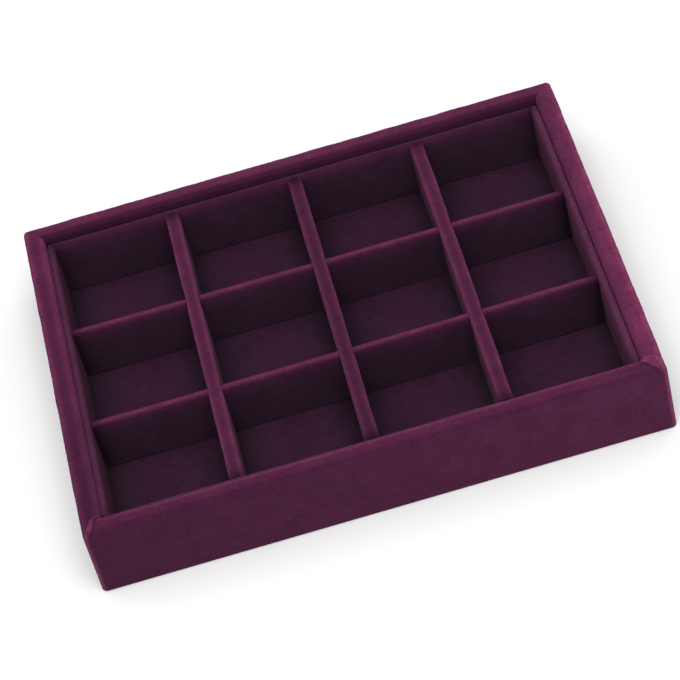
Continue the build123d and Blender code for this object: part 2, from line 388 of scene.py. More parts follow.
def add_node(tree, kind, settings=None, **links):
    """Adds a node. Settings name its properties, and links its inputs, each a value or another's output.

    An input is named by its words with underscores, or by its number after the letter i.
    """
    node = tree.nodes.new(kind)
    for key, value in (settings or {}).items():
        setattr(node, key, value)
    for key, value in links.items():
        numbered = key[0] == "i" and key[1:].isdigit()
        socket = node.inputs[int(key[1:]) if numbered else key.replace("_", " ")]
        if isinstance(value, bpy.types.NodeSocket):
            tree.links.new(value, socket)
        else:
            socket.default_value = value
    return node


def new_material(name):
    """A node material with nothing in it, and its tree."""
    material = bpy.data.materials.new(name)
    material.use_nodes = True
    material.node_tree.nodes.clear()
    return material, material.node_tree


def add_shader(tree, **sockets):
    """Joins a principled shader with those sockets to the material's output."""
    shader = add_node(tree, "ShaderNodeBsdfPrincipled", **sockets)
    add_node(tree, "ShaderNodeOutputMaterial", Surface=shader.outputs["BSDF"])


def velvet_material():
    """Short dense polyester pile, woven and brushed: matt, deep and soft, with a faint rosy sheen.

    The piece's own attributes hold its painted light and shade, which scale the colour, and its share of
    painted shade colour, which turns it greyer. Where the painted light is brightest the colour passes
    into that of the painted highlights. Clouds, tracks and grain show where the pile lies another way,
    parts and ends, and are bolder where the painted light is brighter. All the wraps are cut from the
    same velvet, so it is made only once.
    """
    if VELVET_NAME in bpy.data.materials:
        return bpy.data.materials[VELVET_NAME]
    pile = bpy.context.scene.tray_pile
    material, tree = new_material(VELVET_NAME)
    place = add_node(tree, "ShaderNodeTexCoord").outputs["UV"]
    painted_light = add_node(tree, "ShaderNodeAttribute", {"attribute_name": "painted_light"}).outputs["Fac"]
    # The mottling grows bolder with the painted light, towards the painted highlights.
    bold = add_node(
        tree, "ShaderNodeMapRange", Value=painted_light, From_Min=1.0, From_Max=pile.highlight_from, To_Min=1.0,
        To_Max=pile.bold,
    ).outputs[0]
    # The last of the three fields is the grain, which also bumps the surface.
    for size, detail, distortion, contrast in (
        (pile.cloud, 3.0, 0.6, pile.cloud_share),
        (pile.worm, 2.0, 1.4, pile.worm_share),
        (pile.grain, 2.0, 0.0, pile.grain_share),
    ):
        noise = add_node(
            tree, "ShaderNodeTexNoise", Vector=place, Scale=1 / size, Detail=detail, Roughness=0.55,
            Distortion=distortion,
        ).outputs["Fac"]
        field = add_node(
            tree, "ShaderNodeMapRange", {"clamp": False}, Value=noise,
            To_Min=-contrast / 2, To_Max=contrast / 2,
        ).outputs[0]
        mottle = add_node(
            tree, "ShaderNodeMath", {"operation": "MULTIPLY_ADD"}, i0=field, i1=bold, i2=1.0
        ).outputs[0]
        painted_light = add_node(tree, "ShaderNodeMath", {"operation": "MULTIPLY"}, i0=painted_light, i1=mottle).outputs[0]
    # Painted highlights take their own colour, and the share of painted shade colour turns the colour
    # greyer.
    shade_tint = add_node(tree, "ShaderNodeAttribute", {"attribute_name": "shade_tint"}).outputs["Fac"]
    highlighted = add_node(
        tree, "ShaderNodeMapRange", Value=painted_light, From_Min=1.0, From_Max=pile.highlight_from
    ).outputs[0]
    tone = add_node(
        tree, "ShaderNodeMix", {"data_type": "RGBA"}, i0=highlighted, i6=linear(pile.open_colour),
        i7=linear(pile.highlight_colour),
    ).outputs[2]
    tone = add_node(
        tree, "ShaderNodeMix", {"data_type": "RGBA"}, i0=shade_tint, i6=tone, i7=linear(pile.shade_colour)
    ).outputs[2]
    tinted = add_node(
        tree, "ShaderNodeVectorMath", {"operation": "SCALE"}, i0=tone, Scale=painted_light
    ).outputs[0]
    bump = add_node(tree, "ShaderNodeBump", Strength=0.25, Distance=0.12 * MM, Height=field)
    add_shader(
        tree, Base_Color=tinted, Normal=bump.outputs["Normal"], Roughness=0.95, Diffuse_Roughness=0.8,
        Specular_IOR_Level=0.06, Sheen_Weight=pile.sheen_share, Sheen_Roughness=0.3,
        Sheen_Tint=linear(pile.sheen_tint),
    )
    return material


def board_material(name, colour, dark, fibre):
    """Pressed fibre board, cut and left raw: a matt, speckled face of short fibres."""
    material, tree = new_material(name)
    place = add_node(tree, "ShaderNodeTexCoord").outputs["Object"]
    clouds = add_node(
        tree, "ShaderNodeTexNoise", Vector=place, Scale=1 / (CLOUD_FIBRES * fibre), Detail=4.0,
        Roughness=0.6,
    ).outputs["Fac"]
    clouds = add_node(
        tree, "ShaderNodeMath", {"operation": "MULTIPLY"}, i0=clouds, i1=1 - FIBRE_SHARE
    ).outputs[0]
    stretched = add_node(tree, "ShaderNodeMapping", Vector=place, Scale=FIBRE_STRETCH).outputs["Vector"]
    fibres = add_node(
        tree, "ShaderNodeTexNoise", Vector=stretched, Scale=1 / fibre, Detail=3.0, Roughness=0.75
    ).outputs["Fac"]
    speckle = add_node(
        tree, "ShaderNodeMath", {"operation": "MULTIPLY_ADD"}, i0=fibres, i1=FIBRE_SHARE, i2=clouds
    ).outputs[0]
    ramp = add_node(tree, "ShaderNodeValToRGB", Fac=speckle)
    low, high = ramp.color_ramp.elements
    low.position, low.color = SPECKLE_DARK, linear(dark)
    high.position, high.color = SPECKLE_PALE, linear(colour)
    bump = add_node(tree, "ShaderNodeBump", Strength=0.3, Distance=0.1 * MM, Height=fibres)
    add_shader(
        tree, Base_Color=ramp.outputs["Color"], Normal=bump.outputs["Normal"], Roughness=0.9,
        Specular_IOR_Level=0.25,
    )
    return material


def backing_material(name, colour, dark, thread):
    """Plain-woven cotton backing: matt, with the over-and-under of its threads, drawn coarse to show."""
    material, tree = new_material(name)
    place = add_node(tree, "ShaderNodeTexCoord").outputs["Object"]
    warp, weft = (
        add_node(
            tree, "ShaderNodeTexWave", {"bands_direction": axis}, Vector=place,
            Scale=2 * math.pi / (WAVE_TEXTURE_RATE * thread), Distortion=0.4, Detail=1.0,
        ).outputs["Fac"]
        for axis in ("X", "Y")
    )
    weave = add_node(tree, "ShaderNodeMath", {"operation": "MULTIPLY"}, i0=warp, i1=weft).outputs[0]
    ramp = add_node(tree, "ShaderNodeValToRGB", Fac=weave)
    low, high = ramp.color_ramp.elements
    low.color, high.color = linear(dark), linear(colour)
    bump = add_node(tree, "ShaderNodeBump", Strength=0.4, Distance=0.15 * MM, Height=weave)
    add_shader(
        tree, Base_Color=ramp.outputs["Color"], Normal=bump.outputs["Normal"], Roughness=0.85,
        Specular_IOR_Level=0.2,
    )
    return material


def runs(breaks, step):
    """Points from the first break to the last, through every break, at most one step apart."""
    counts = [max(2, math.ceil(abs(b - a) / step) + 1) for a, b in zip(breaks, breaks[1:])]
    parts = [np.linspace(a, b, count)[:-1] for a, b, count in zip(breaks, breaks[1:], counts)]
    return np.concatenate([*parts, breaks[-1:]])


def section_line(corners, radii, step, arc_steps):
    """A section through a wrap: straight runs with a quarter round at each inner corner.

    About a corner c between the unit directions a and b the round is
    c - r (1 - sin t) a + r (1 - cos t) b, for t from 0 to a quarter turn.
    """
    corners = np.array(corners)
    turn = np.linspace(0, math.pi / 2, arc_steps + 1)[:-1, None]
    start = corners[0]
    pieces = []
    for before, corner, after, radius in zip(corners, corners[1:], corners[2:], radii):
        a = (corner - before) / np.linalg.norm(corner - before)
        b = (after - corner) / np.linalg.norm(after - corner)
        entry = corner - radius * a
        pieces.append(start + runs([0, np.linalg.norm(entry - start)], step)[:-1, None] * a)
        if radius > 0:
            pieces.append(corner - radius * (1 - np.sin(turn)) * a + radius * (1 - np.cos(turn)) * b)
        start = corner + radius * b
    last = corners[-1] - start
    reach = np.linalg.norm(last)
    pieces.append(start + runs([0, reach], step)[:, None] * last / reach)
    return np.concatenate(pieces)


def run_of(section):
    """Distance along a section from its start to each of its points."""
    return np.concatenate([[0], np.cumsum(np.linalg.norm(np.diff(section, axis=0), axis=1))])


def side_grid(section, length, depth, corner_radius, columns, overlap=0.0):
    """The front side of a wrapped frame, as rows of points that run along X.

    A row at the distance d inward runs straight at y = d - depth / 2, and then turns about the corner's
    centre with the radius corner_radius - d, up to the mitre plane at 45 degrees. A row that lies
    further in than the corner's radius ends where it meets the mitre. The overlap is how far a row
    goes on along X past its mitre. Columns run from -1 to 1.
    Returns the points, how far each lies along its row from the middle, its row's reach on that side,
    and how far the row runs before it meets the mitre.
    """
    inward = section[:, :1]
    turn_radius = np.maximum(corner_radius - inward, 0)
    straight = length / 2 - np.maximum(corner_radius, inward)
    to_mitre = straight + turn_radius * math.pi / 4
    reach = to_mitre + overlap
    along = columns[None, :] * reach
    within = np.minimum(np.abs(along), to_mitre)
    angle = np.maximum(within - straight, 0) / np.maximum(turn_radius, NEARLY_ZERO)
    past = np.maximum(np.abs(along) - to_mitre, 0)
    x = np.sign(along) * (np.minimum(within, straight) + turn_radius * np.sin(angle) + past)
    y = inward - depth / 2 + turn_radius * (1 - np.cos(angle))
    z = np.broadcast_to(section[:, 1:], x.shape)
    return np.stack([x, y, z], axis=-1), along, np.broadcast_to(reach, x.shape), to_mitre


def outward(points):
    """Unit normals of a grid: the cross product of its steps along the rows and across them."""
    normal = np.cross(np.gradient(points, axis=1), np.gradient(points, axis=0))
    return normal / np.maximum(np.linalg.norm(normal, axis=-1, keepdims=True), NEARLY_ZERO)


def slow_waves(points, wave_length, seed):
    """A smooth field from -1 to 1: cosines of seeded directions and phases, about one wave length long."""
    random = np.random.default_rng(seed)
    direction = random.normal(size=(WAVE_COUNT, 3))
    direction /= np.linalg.norm(direction, axis=1, keepdims=True)
    pace = 2 * math.pi / (wave_length * random.uniform(*WAVE_SHARES, size=(WAVE_COUNT, 1)))
    phase = random.uniform(0, 2 * math.pi, size=WAVE_COUNT)
    return np.cos(points @ (direction * pace).T + phase).sum(axis=-1) / math.sqrt(2 * WAVE_COUNT)


def unevenness(points, seed):
    """How far glued velvet stands out: slow waves, and the small tufts of its pile, added up."""
    wraps = bpy.context.scene.tray_wraps
    return (
        wraps.wave * slow_waves(points, wraps.wave_length, seed)
        + wraps.tuft * slow_waves(points, wraps.tuft_length, seed + 1)
    )


def smooth_step(values, low, high):
    """0 up to low, 1 from high, and t * t * (3 - 2 * t) between, where t rises evenly from 0 to 1."""
    t = np.clip((values - low) / (high - low), 0, 1)
    return t * t * (3 - 2 * t)


def upward(points, level):
    """How far a surface counts as a top: a smooth step of its unit normal's height."""
    return smooth_step(outward(points)[..., 2], *level)


def rounded_edge(distance, radius):
    """Height of a round edge, from 0 at the edge to 1 from the radius on: sqrt(1 - (1 - d / r) ** 2)."""
    return np.sqrt(1 - (1 - np.clip(distance / radius, 0, 1)) ** 2)


def turned(points, quarters):
    """The points turned about Z by that many quarter turns."""
    x, y, z = np.moveaxis(points, -1, 0)
    for _ in range(quarters):
        x, y = -y, x
    return np.stack([x, y, z], axis=-1)


def strayed(place, shares):
    """How far a piece strays at a place from -1 to 1: the parabola through its start, middle and end."""
    start, middle, end = shares
    bend = (start + end) / 2 - middle
    return bpy.context.scene.tray_wraps.stray * (middle + (end - start) / 2 * place + bend * place ** 2)


def painted_bend_light(points, run, inside):
    """Painted sheen and shade on a wall's bends, as a brightness where 1 is none.

    With the unit normal n and h = sqrt(n_x ** 2 + n_y ** 2) a bend adds max(3 h - 4 h ** 3, 0), which is
    greatest at a lean of 30 degrees and nothing past 60, times the values of its directions, with
    n_x ** 2 and n_y ** 2 as their shares. An upright corner adds 2 |n_x n_y| (1 - |n_z|). All is averaged
    along the section with the weight exp(-(distance / reach) ** 2 / 2).
    """
    pile = bpy.context.scene.tray_pile
    x, y, z = np.moveaxis(outward(points), -1, 0)
    lean = np.hypot(x, y)
    directions = [np.maximum(part, 0) ** 2 for part in (-y, y, -x, x)]
    values = [
        np.where(inside, inner, outer) * part
        for outer, inner, part in zip(pile.outer_bend_light, pile.inner_bend_light, directions)
    ]
    bump = np.maximum(3 * lean - 4 * lean ** 3, 0) * sum(values) / np.maximum(lean, NEARLY_ZERO) ** 2
    bend_light = 1 + bump * (z > 0) + pile.corner_light * 2 * np.abs(x * y) * (1 - np.abs(z))
    weight = np.exp(-(((run[:, None] - run) / pile.rim_reach) ** 2) / 2) * np.gradient(run)
    return (weight / weight.sum(axis=1, keepdims=True)) @ bend_light


def edge_highlight(section, top, highlight):
    """Painted highlights over the two top edges of a board, as a brightness where 1 is none.

    Each edge adds the painted highlight times exp(-(u / across) ** 2 / 2) at the distance u towards the
    crown's middle, and times exp(-u / down) at the distance u down its face.
    """
    pile = bpy.context.scene.tray_pile
    run = run_of(section)
    total = 1.0
    for edge, inward in ((section[:, 0].min(), 1), (section[:, 0].max(), -1)):
        nearest = run[np.argmin(np.hypot(section[:, 0] - edge, section[:, 1] - top))]
        distance = inward * (run - nearest)
        across = (np.maximum(distance, 0) / pile.highlight_across) ** 2 / 2
        down = np.maximum(-distance, 0) / pile.highlight_down
        total = total + highlight * np.exp(-across - down)
    return total[:, None]


def middle_highlight(section, top, highlight, reach):
    """A painted highlight along the middle of a thin crown: 1 + highlight exp(-(u / reach) ** 2 / 2)."""
    run = run_of(section)
    middle = (section[:, 0].min() + section[:, 0].max()) / 2
    nearest = run[np.argmin(np.hypot(section[:, 0] - middle, section[:, 1] - top))]
    return (1 + highlight * np.exp(-((run - nearest) / reach) ** 2 / 2))[:, None]


def end_light(from_end, felt_share=1.0):
    """Painted shade on a thin crown towards its end: 1 - felt shade exp(-(distance / reach) ** 2)."""
    pile = bpy.context.scene.tray_pile
    return 1 - felt_share * pile.end_shade_share * np.exp(-(from_end / pile.end_reach) ** 2)


def shaded(points, top, deep_share=1.0):
    """Painted shade on a compartment's faces by their depth: a brightness, and a share of painted shade
    colour.

    Each is deep + (near - deep) exp(-depth / reach). The values of a face across the view, to the front
    or back, pass into those of a face along it, to a side, with |n_x|.
    """
    pile = bpy.context.scene.tray_pile
    sideways = np.abs(outward(points)[..., 0])
    near, deep, reach, tint_near, tint_deep = (
        pair[0] + (pair[1] - pair[0]) * sideways
        for pair in (
            pile.face_near, pile.face_deep, pile.deep_reach, pile.shade_tint_near_share, pile.shade_tint_deep_share
        )
    )
    deep = deep * deep_share
    depth = np.maximum(top - points[..., 2], 0)
    light = deep + (near - deep) * np.exp(-depth / reach)
    return light, tint_deep + (tint_near - tint_deep) * np.exp(-depth / pile.shade_tint_reach)


def groove_light(points, top):
    """Painted light on the side faces in the groove between a wall and the liner.

    It is 1 + groove n_x ** 2 exp(-depth / reach), with the unit normal n.
    """
    pile = bpy.context.scene.tray_pile
    depth = np.maximum(top - points[..., 2], 0)
    return 1 + pile.groove * outward(points)[..., 0] ** 2 * np.exp(-depth / pile.groove_reach)


def rim_light(side, place, from_mitre):
    """Painted light on a rim, with the lie of its pile, by its place from 0 at the left or front end to 1.

    It changes evenly from the one end to the other. At a back corner it passes into the mean of the two
    rims that meet there, with the weight exp(-(distance / reach) ** 2) by the distance to their mitre.
    """
    pile = bpy.context.scene.tray_pile
    start, end = getattr(pile, side)
    rim = start + (end - start) * place
    second_half = place > 0.5
    beyond = {
        "front": rim,
        "back": np.where(second_half, pile.right[1], pile.left[1]),
        "left": np.where(second_half, pile.back[0], rim),
        "right": np.where(second_half, pile.back[1], rim),
    }[side]
    return rim + (beyond - rim) * np.exp(-(from_mitre / pile.blend_reach) ** 2) / 2


def cloth_object(name, points, along, across, painted_light, shade_tint, keep=None):
    """A mesh from a grid of points, with the cloth's own flat places as UV, and its painted light and its
    share of painted shade colour as attributes.

    Along and across are those places in metres. Keep says which quads are kept, row by row.
    """
    rows, columns = points.shape[:2]
    cut = np.stack(np.broadcast_arrays(along, across), axis=-1)
    index = np.arange(rows * columns).reshape(rows, columns)
    quads = np.stack([index[:-1, :-1], index[:-1, 1:], index[1:, 1:], index[1:, :-1]], axis=-1)
    quads = quads.reshape(-1, 4) if keep is None else quads[keep]
    used, flat_index = np.unique(quads, return_inverse=True)
    quads = flat_index.reshape(-1, 4)
    mesh = bpy.data.meshes.new(name)
    mesh.from_pydata(points.reshape(-1, 3)[used].tolist(), [], quads.tolist(), shade_flat=False)
    layer = mesh.uv_layers.new(name="cut")
    layer.data.foreach_set("uv", cut.reshape(-1, 2)[used][quads.ravel()].ravel().astype(np.float32))
    for key, values in (("painted_light", painted_light), ("shade_tint", shade_tint)):
        spread = np.broadcast_to(values, (rows, columns)).reshape(-1)[used]
        mesh.attributes.new(key, "FLOAT", "POINT").data.foreach_set("value", spread.astype(np.float32))
    cloth = bpy.data.objects.new(name, mesh)
    bpy.context.scene.collection.objects.link(cloth)
    return cloth


def finish_cloth(cloth, material, body, node):
    """Gives the cloth its thickness and its finish, puts it on its body and hides the solid that it stands
    for.
    """
    solid = cloth.modifiers.new("thickness", "SOLIDIFY")
    solid.thickness = VELVET
    solid.offset = -1
    cloth.data.materials.append(material)
    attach(cloth, body)
    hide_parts(node)


def even_columns(length, step, end_step, end_reach):
    """Places from -1 to 1 along a wrap, closer together near its two ends."""
    half = length / 2
    inner = half - end_reach
    right = np.concatenate([runs([0, inner], step)[:-1], runs([inner, half], end_step)]) / half
    return np.concatenate([-right[:0:-1], right])


def wall_section():
    """Under the base, up the outside, over the rim and down the inside, as (inward, height)."""
    wraps = bpy.context.scene.tray_wraps
    return section_line(
        [(WALL, 0), (0, 0), (0, TRAY_HEIGHT), (WALL, TRAY_HEIGHT), (WALL, BASE_TOP)],
        [wraps.sole_radius, wraps.outer_radius, wraps.inner_radius],
        wraps.mesh_step, wraps.arc_steps,
    )


def rim_height(inward):
    """Height of the rim at a distance inward: flat, with a quarter round down to each face."""
    wraps = bpy.context.scene.tray_wraps
    outer = wraps.outer_radius * (1 - rounded_edge(inward, wraps.outer_radius))
    inner = wraps.inner_radius * (1 - rounded_edge(WALL - inward, wraps.inner_radius))
    return TRAY_HEIGHT - outer - inner


def fold_share(section):
    """How far a row of the front wrap runs past the mitre, as a share of the fold's reach.

    It grows evenly from the fold's start to the inner edge, and on the inner bend it is
    sqrt(1 - sin(t) ** 4) of that, where t is the turn of the bend. The two faces have none.
    """
    wraps = bpy.context.scene.tray_wraps
    inward, height = section.T
    grown = np.clip((inward - wraps.fold_start) / (WALL - wraps.fold_start), 0, 1)
    sine = np.clip((inward - WALL) / wraps.inner_radius + 1, 0, 1)
    on_rim = height > TRAY_HEIGHT - max(wraps.inner_radius, wraps.outer_radius)
    return (grown * np.sqrt(1 - sine ** 4) * on_rim)[:, None]


def fold_over(points, section, along, reach, to_mitre, columns):
    """Lays the ends of the front wrap over the side walls' rims, each with a raised and rounded edge.

    Past the mitre a point takes the height of the rim beneath it, and the inner bend runs out flat: its
    rows move on by how much longer its arc is than its width. Near the free edge a point stands higher
    by the fold's rise times the edge's rounding, where the row lies level. Returns the painted highlight
    on the raised pile, and the painted shade in the crease beside it.
    """
    wraps, pile = bpy.context.scene.tray_wraps, bpy.context.scene.tray_pile
    right = columns[None, :] > 0
    rise, width, full_share, highlight = (
        np.where(right, pair[1], pair[0])
        for pair in (wraps.fold_rise, wraps.fold_width, wraps.fold_full_share, pile.fold_highlight)
    )
    width = width + full_share * (reach - to_mitre)
    past = np.maximum(np.abs(along) - to_mitre, 0)
    radius = max(wraps.outer_radius, wraps.inner_radius)
    level = np.sqrt(np.clip((section[:, 1:] - TRAY_HEIGHT) / radius + 1, 0, 1))
    sine = np.clip((section[:, :1] - WALL) / wraps.inner_radius + 1, 0, 1)
    run_out = smooth_step(past, 0, wraps.fold_flat) * (section[:, 1:] > TRAY_HEIGHT - wraps.inner_radius)
    points[..., 1] += run_out * wraps.inner_radius * (np.arcsin(sine) - sine)
    level = level + (1 - level) * run_out * (section[:, :1] > WALL / 2)
    inward = TRAY_LENGTH / 2 - np.abs(points[..., 0])
    corner = np.hypot(
        np.maximum(wraps.corner_radius - inward, 0),
        np.maximum(wraps.corner_radius - TRAY_DEPTH / 2 - points[..., 1], 0),
    )
    inward = np.where(corner > 0, np.minimum(inward, wraps.corner_radius - corner), inward)
    both = rim_height(np.minimum(inward, section[:, :1]))
    beneath = rim_height(np.minimum(inward, WALL / 2))
    height = np.where(past > 0, both + (beneath - both) * run_out, points[..., 2])
    from_edge = reach - np.abs(along)
    edge = rounded_edge(from_edge, wraps.fold_round) * level
    raised = edge * (1 - smooth_step(from_edge, width, width + 2 * wraps.fold_round))
    laid = edge * (1 - smooth_step(from_edge, width, width + wraps.mitre_reach))
    sunk = (1 - edge) * smooth_step(past, 0, wraps.fold_round)
    lifted = height + rise * raised + wraps.mitre_dip * (laid - sunk)
    on_rim = section[:, 1:] > TRAY_HEIGHT - radius
    points[..., 2] = np.where(on_rim, lifted, points[..., 2])
    # Painted shade along the crease beside the fold.
    from_crease = from_edge - width - CREASE_ROUNDINGS * wraps.fold_round
    crease = np.exp(-(from_crease / wraps.fold_round) ** 2)
    return np.where(on_rim, highlight * raised - pile.crease_shade_share * crease * level, 0)


def wall_painted_light(side, world, section, from_mitre):
    """Painted light and shade on one wall's velvet, with the lie of its pile, and its share of painted
    shade colour.

    The outer face and the rim change evenly along the wall. The inner face has painted shade with its
    depth and painted light in the groove. A face passes into the rim as it turns upward, and the bends
    have painted sheen and shade.
    """
    wraps, pile = bpy.context.scene.tray_wraps, bpy.context.scene.tray_pile
    inside = section[:, :1] > WALL / 2
    place = world[..., 0] / TRAY_LENGTH if side in ("front", "back") else world[..., 1] / TRAY_DEPTH
    place = np.clip(place + 0.5, 0, 1)
    light, shade_tint = shaded(world, TRAY_HEIGHT - wraps.inner_radius)
    # Painted shade on the back wall's inner face.
    if side == "back":
        light = light * pile.back_wall_share
    start, end = pile.face
    # Painted light on the outer faces; painted shade with depth and painted light in the groove on the
    # inner face.
    face = np.where(inside, light * groove_light(world, TRAY_HEIGHT), start + (end - start) * place)
    up = upward(world, RIM_LEVEL)
    # Painted light on the rim, with the lie of its pile, and painted sheen and shade on the bends.
    painted_light = face + (rim_light(side, place, from_mitre) - face) * up
    painted_light = painted_light * painted_bend_light(world, run_of(section), inside)
    return painted_light, np.where(inside, shade_tint, pile.face_shade_tint_share) * (1 - up)


def wall_lift(side, world, section, from_mitre):
    """How far the pile of one wall stands out: uneven, swelled in the groove and sunk beneath a fold."""
    wraps = bpy.context.scene.tray_wraps
    height = world[..., 2]
    free = smooth_step(from_mitre, 0, wraps.mitre_reach)
    lift = unevenness(world, WALL_SEED) * smooth_step(height, *WALL_FOOT) * free
    in_groove = smooth_step(TRAY_HEIGHT - height, 0, wraps.inner_radius) * (section[:, :1] > WALL / 2)
    in_groove = in_groove * smooth_step(height, *SWELL_FOOT)
    lift = lift + (wraps.swell - lift) * in_groove * free
    if side in ("left", "right"):
        beneath = 1 - smooth_step(from_mitre, wraps.mitre_reach / 2, wraps.mitre_reach)
        beneath = beneath * (world[..., 1] < 0)
        bend = TRAY_HEIGHT - wraps.outer_radius
        lift -= wraps.mitre_dip * beneath * smooth_step(height, bend, bend + wraps.outer_radius / 2)
    return lift


def wall_wrap(side, material):
    """One wall's velvet, mitred at its ends. The front one is folded over the sides at its corners."""
    wraps = bpy.context.scene.tray_wraps
    across = side in ("front", "back")
    length, depth = (TRAY_LENGTH, TRAY_DEPTH) if across else (TRAY_DEPTH, TRAY_LENGTH)
    section = wall_section()
    run = run_of(section)
    columns = even_columns(length, wraps.mesh_step, wraps.mesh_step / WALL_END_FINENESS, wraps.mitre_reach)
    overlap = 0.0
    if side == "front":
        left, right = wraps.fold_reach
        overlap = fold_share(section) * np.where(columns > 0, right, left)
    points, along, reach, to_mitre = side_grid(
        section, length, depth, wraps.corner_radius, columns, overlap
    )
    fold_light = 0.0
    if side == "front":
        fold_light = fold_over(points, section, along, reach, to_mitre, columns)
    world = turned(points, QUARTER_TURNS[side])
    from_mitre = np.maximum(to_mitre - np.abs(along), 0)
    # Painted light and shade, with a painted highlight on each fold and painted shade in its crease.
    painted_light, shade_tint = wall_painted_light(side, world, section, from_mitre)
    painted_light = painted_light * (1 + fold_light)
    lift = wall_lift(side, world, section, from_mitre)
    points = points + outward(points) * lift[..., None]
    inner_share = np.clip(section[:, :1] / WALL, 0, 1) * (section[:, 1:] > BASE_TOP)
    free = smooth_step(from_mitre, 0, wraps.mitre_reach)
    points[..., 1] -= strayed(columns, WALL_STRAY_SHARES.get(side, STRAIGHT)) * inner_share * free
    world = turned(points, QUARTER_TURNS[side])
    cloth = cloth_object(f"{side}_wall_wrap", world, along, run[:, None], painted_light, shade_tint)
    finish_cloth(cloth, material, "tray", f"{side}_wall_velvet")


def liner_wrap(side, material):
    """One side of the liner's velvet: a short way up its hidden face, over the top and down the inside."""
    wraps, pile = bpy.context.scene.tray_wraps, bpy.context.scene.tray_pile
    across = side in ("front", "back")
    length, depth = (GRID_LENGTH, GRID_DEPTH) if across else (GRID_DEPTH, GRID_LENGTH)
    section = section_line(
        [(0, LINER_TOP - wraps.turnover), (0, LINER_TOP), (LINER, LINER_TOP), (LINER, FLOOR_TOP)],
        [wraps.liner_radius, wraps.liner_radius],
        wraps.mesh_step, wraps.arc_steps,
    )
    run = run_of(section)
    columns = even_columns(length, wraps.mesh_step, wraps.mesh_step / LINER_END_FINENESS, LINER)
    points, along, reach, _ = side_grid(section, length, depth, wraps.liner_corner, columns)
    world = turned(points, QUARTER_TURNS[side])
    hidden = section[:, :1] < LINER / 2
    # Painted light on the crown with a painted highlight along its middle, painted shade with depth and at
    # the ends, painted light in the groove, and a share of painted shade colour.
    level, highlight = getattr(pile, f"liner_{side}")
    light, shade_tint = shaded(world, LINER_TOP - wraps.liner_radius)
    up = upward(world, CROWN_LEVEL)
    inner = dict(zip(("left", "right"), pile.liner_inner)).get(side, 1)
    light = light * np.where(hidden, groove_light(world, LINER_TOP), 1 + (inner - 1) * (1 - up))
    from_mitre = reach - np.abs(along)
    painted_light = (1 + (level - 1) * up) * light * middle_highlight(section, LINER_TOP, highlight, pile.liner_reach)
    painted_light = painted_light * end_light(from_mitre, pile.liner_end_share)
    shade_tint = shade_tint + (pile.liner_shade_tint_share - shade_tint) * up
    free = smooth_step(from_mitre, 0, wraps.mitre_reach)
    lift = unevenness(world, LINER_SEED) * smooth_step(points[..., 2], *GRID_FOOT) * free
    in_groove = smooth_step(LINER_TOP - points[..., 2], 0, wraps.liner_radius) * hidden
    lift = lift + (wraps.swell - lift) * in_groove * free
    points = points + outward(points) * lift[..., None]
    points[..., 1] -= strayed(columns, LINER_STRAY_SHARES.get(side, STRAIGHT)) * free
    world = turned(points, QUARTER_TURNS[side])
    cloth = cloth_object(f"{side}_liner_wrap", world, along, run[:, None], painted_light, shade_tint)
    finish_cloth(cloth, material, "grid", f"{side}_liner_velvet")


